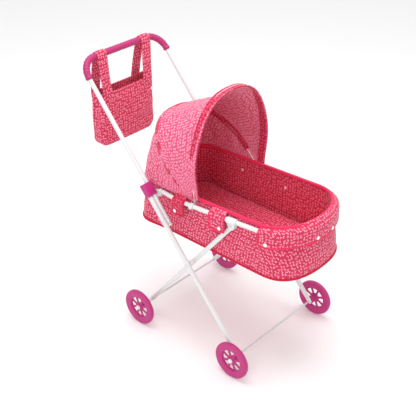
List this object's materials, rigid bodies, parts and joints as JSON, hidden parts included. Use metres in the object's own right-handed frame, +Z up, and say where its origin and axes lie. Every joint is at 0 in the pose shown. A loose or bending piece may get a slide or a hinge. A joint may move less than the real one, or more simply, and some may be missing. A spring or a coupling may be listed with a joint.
{
  "type": "doll stroller",
  "caption": "Folding doll stroller: crossed tube legs on spoked wheels, soft carrycot with folding hood, padded push handle and hanging bag.",
  "frame": {"origin": "centre of the bounding footprint, on the ground under the wheels", "axes": "+X towards the foot end (forwards), +Y to the left, +Z up"},
  "size_m": [0.6879, 0.3638, 0.6857],
  "materials": {
    "white_paint": "white gloss powder coat",
    "white_plastic": "white moulded plastic",
    "pink_plastic": "magenta-pink moulded plastic",
    "steel": "bright zinc-plated steel",
    "printed_cotton": "woven polyester-cotton with a small pale motif",
    "popper_white": "white press stud"
  },
  "bodies": {
    "carrycot_frame": {"rim_tube": "white_paint", "leg_socket_right": "white_plastic", "rim_end_right": "white_plastic", "hood_clip_right": "white_plastic", "leg_rivet_right": "steel", "leg_socket_left": "white_plastic", "rim_end_left": "white_plastic", "hood_clip_left": "white_plastic", "leg_rivet_left": "steel", "hood_cover": "printed_cotton", "carrycot": "printed_cotton", "base_board": "printed_cotton", "flap_foot": "printed_cotton", "flap_side_right": "printed_cotton", "popper_side_right": "popper_white", "flap_head_right": "printed_cotton", "popper_head_right": "popper_white", "popper_corner_right": "popper_white", "popper_end_right": "popper_white", "flap_side_left": "printed_cotton", "popper_side_left": "popper_white", "flap_head_left": "printed_cotton", "popper_head_left": "popper_white", "popper_corner_left": "popper_white", "popper_end_left": "popper_white"},
    "rear_legs": {"axle_rear": "steel", "hub_cap_rear_right": "white_plastic", "hub_cap_rear_left": "white_plastic", "rear_leg_right": "white_paint", "cross_spacer_right": "white_plastic", "axle_sleeve_right": "white_plastic", "rear_leg_left": "white_paint", "cross_spacer_left": "white_plastic", "axle_sleeve_left": "white_plastic"},
    "front_legs": {"axle_front": "steel", "hub_cap_front_right": "white_plastic", "hub_cap_front_left": "white_plastic", "front_leg_right": "white_paint", "cross_rivet_right": "steel", "handle_rivet_right": "steel", "front_leg_left": "white_paint", "cross_rivet_left": "steel", "handle_rivet_left": "steel"},
    "handle": {"handle_tube": "white_paint", "handle_grip": "pink_plastic", "handle_end_cap_right": "white_plastic", "handle_end_cap_left": "white_plastic"},
    "bag": {"bag_body": "printed_cotton", "bag_strap_right": "printed_cotton", "bag_popper_right": "popper_white", "bag_strap_left": "printed_cotton", "bag_popper_left": "popper_white"},
    "hood_front": {"hood_bow_front": "white_paint"},
    "hood_middle": {"hood_bow_middle": "white_paint"},
    "lock_collar_right": {"lock_collar_right": "pink_plastic"},
    "lock_collar_left": {"lock_collar_left": "pink_plastic"},
    "wheel_front_right": {"wheel_front_right": "pink_plastic"},
    "wheel_front_left": {"wheel_front_left": "pink_plastic"},
    "wheel_rear_right": {"wheel_rear_right": "pink_plastic"},
    "wheel_rear_left": {"wheel_rear_left": "pink_plastic"}
  },
  "joints": [
    {"name": "frame_fold", "type": "hinge", "parent": "rear_legs", "child": "front_legs", "pos_m": [0.04644, 0, 0.24473], "axis": [0, -1, 0], "range_deg": [0, 27], "deforming": ["carrycot", "base_board", "flap_foot", "flap_side_right", "flap_side_left", "flap_head_right", "flap_head_left", "hood_cover", "bag_body", "bag_strap_right", "bag_strap_left"]},
    {"name": "rear_leg_hinge", "type": "hinge", "parent": "carrycot_frame", "child": "rear_legs", "pos_m": [0.16766, 0, 0.39676], "axis": [0, -1, 0], "range_deg": [-6.9, 0]},
    {"name": "handle_hinge", "type": "hinge", "parent": "front_legs", "child": "handle", "pos_m": [-0.03025, 0, 0.33484], "axis": [0, -1, 0], "range_deg": [-59.4, 0]},
    {"name": "hood_fold", "type": "hinge", "parent": "carrycot_frame", "child": "hood_front", "pos_m": [0.04866, 0, 0.40661], "axis": [0, -1, 0], "range_deg": [0, 46], "deforming": ["hood_cover"]},
    {"name": "hood_middle_fold", "type": "hinge", "parent": "carrycot_frame", "child": "hood_middle", "pos_m": [0.04866, 0, 0.40661], "axis": [0, -1, 0], "range_deg": [0, 10]},
    {"name": "bag_swing", "type": "hinge", "parent": "handle", "child": "bag", "pos_m": [-0.3193, 0, 0.67449], "axis": [0, -1, 0], "range_deg": [-60, 35]},
    {"name": "lock_collar_slide_right", "type": "slide", "parent": "handle", "child": "lock_collar_right", "axis": [-0.6481, 0, 0.7616], "range_m": [0, 0.02]},
    {"name": "lock_collar_slide_left", "type": "slide", "parent": "handle", "child": "lock_collar_left", "axis": [-0.6481, 0, 0.7616], "range_m": [0, 0.02]},
    {"name": "wheel_spin_front_right", "type": "hinge", "parent": "front_legs", "child": "wheel_front_right", "pos_m": [0.21236, -0.1718, 0.04976], "axis": [0, 1, 0], "continuous": true},
    {"name": "wheel_spin_front_left", "type": "hinge", "parent": "front_legs", "child": "wheel_front_left", "pos_m": [0.21236, 0.1718, 0.04976], "axis": [0, 1, 0], "continuous": true},
    {"name": "wheel_spin_rear_right", "type": "hinge", "parent": "rear_legs", "child": "wheel_rear_right", "pos_m": [-0.10904, -0.1718, 0.04976], "axis": [0, 1, 0], "continuous": true},
    {"name": "wheel_spin_rear_left", "type": "hinge", "parent": "rear_legs", "child": "wheel_rear_left", "pos_m": [-0.10904, 0.1718, 0.04976], "axis": [0, 1, 0], "continuous": true}
  ],
  "couplings": [
    {"joint": "rear_leg_hinge", "follows": "frame_fold", "ratio": -0.25215},
    {"joint": "handle_hinge", "follows": "frame_fold", "ratio": -2.1966},
    {"joint": "hood_middle_fold", "follows": "hood_fold", "ratio": 0.2}
  ]
}
